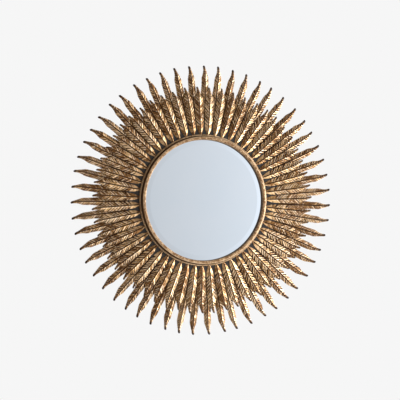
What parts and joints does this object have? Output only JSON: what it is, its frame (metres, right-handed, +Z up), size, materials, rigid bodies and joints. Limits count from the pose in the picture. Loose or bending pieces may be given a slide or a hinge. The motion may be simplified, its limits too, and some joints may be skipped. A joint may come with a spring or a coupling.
{
  "type": "wall mirror",
  "caption": "Round sunburst wall mirror: two layers of antique-gold metal feathers round a turned rim and bevelled mirror glass, with a keyhole hanging plate.",
  "frame": {"origin": "where the wall screw's shank sits, in the top of the keyhole slot, on the plane of the wall", "axes": "+Y into the wall, -Y towards the viewer, +Z up, +X to the viewer's right"},
  "size_m": [0.8366, 0.0362, 0.8377],
  "materials": {
    "front_feather_gold": "antique gold leaf paint over brown, rubbed back on the ridges",
    "back_feather_gold": "antique gold leaf paint over brown, dark at the tips and edges",
    "rim_gold": "antique gold paint, worn darker in patches",
    "black_plate": "black satin paint",
    "mirror_glass": "silvered glass, polished",
    "hanger_steel": "zinc-plated sheet steel"
  },
  "bodies": {
    "root": {"mirror_glass": "mirror_glass", "rim": "rim_gold", "back_plate": "black_plate", "long_feather_crown": "back_feather_gold", "hanging_plate": "hanger_steel", "short_feather_01": "front_feather_gold", "short_feather_02": "front_feather_gold", "short_feather_03": "front_feather_gold", "short_feather_04": "front_feather_gold", "short_feather_05": "front_feather_gold", "short_feather_06": "front_feather_gold", "short_feather_07": "front_feather_gold", "short_feather_08": "front_feather_gold", "short_feather_09": "front_feather_gold", "short_feather_10": "front_feather_gold", "short_feather_11": "front_feather_gold", "short_feather_12": "front_feather_gold", "short_feather_13": "front_feather_gold", "short_feather_14": "front_feather_gold", "short_feather_15": "front_feather_gold", "short_feather_16": "front_feather_gold", "short_feather_17": "front_feather_gold", "short_feather_18": "front_feather_gold", "short_feather_19": "front_feather_gold", "short_feather_20": "front_feather_gold", "short_feather_21": "front_feather_gold", "short_feather_22": "front_feather_gold", "short_feather_23": "front_feather_gold", "short_feather_24": "front_feather_gold", "short_feather_25": "front_feather_gold", "short_feather_26": "front_feather_gold", "short_feather_27": "front_feather_gold", "short_feather_28": "front_feather_gold", "short_feather_29": "front_feather_gold", "short_feather_30": "front_feather_gold", "short_feather_31": "front_feather_gold", "short_feather_32": "front_feather_gold", "short_feather_33": "front_feather_gold", "short_feather_34": "front_feather_gold", "short_feather_35": "front_feather_gold", "short_feather_36": "front_feather_gold", "short_feather_37": "front_feather_gold", "short_feather_38": "front_feather_gold", "short_feather_39": "front_feather_gold", "short_feather_40": "front_feather_gold", "short_feather_41": "front_feather_gold", "short_feather_42": "front_feather_gold", "short_feather_43": "front_feather_gold", "short_feather_44": "front_feather_gold", "short_feather_45": "front_feather_gold", "short_feather_46": "front_feather_gold", "short_feather_47": "front_feather_gold", "short_feather_48": "front_feather_gold", "short_feather_49": "front_feather_gold", "short_feather_50": "front_feather_gold", "short_feather_51": "front_feather_gold", "short_feather_52": "front_feather_gold", "short_feather_53": "front_feather_gold", "short_feather_54": "front_feather_gold", "short_feather_55": "front_feather_gold"}
  },
  "joints": []
}
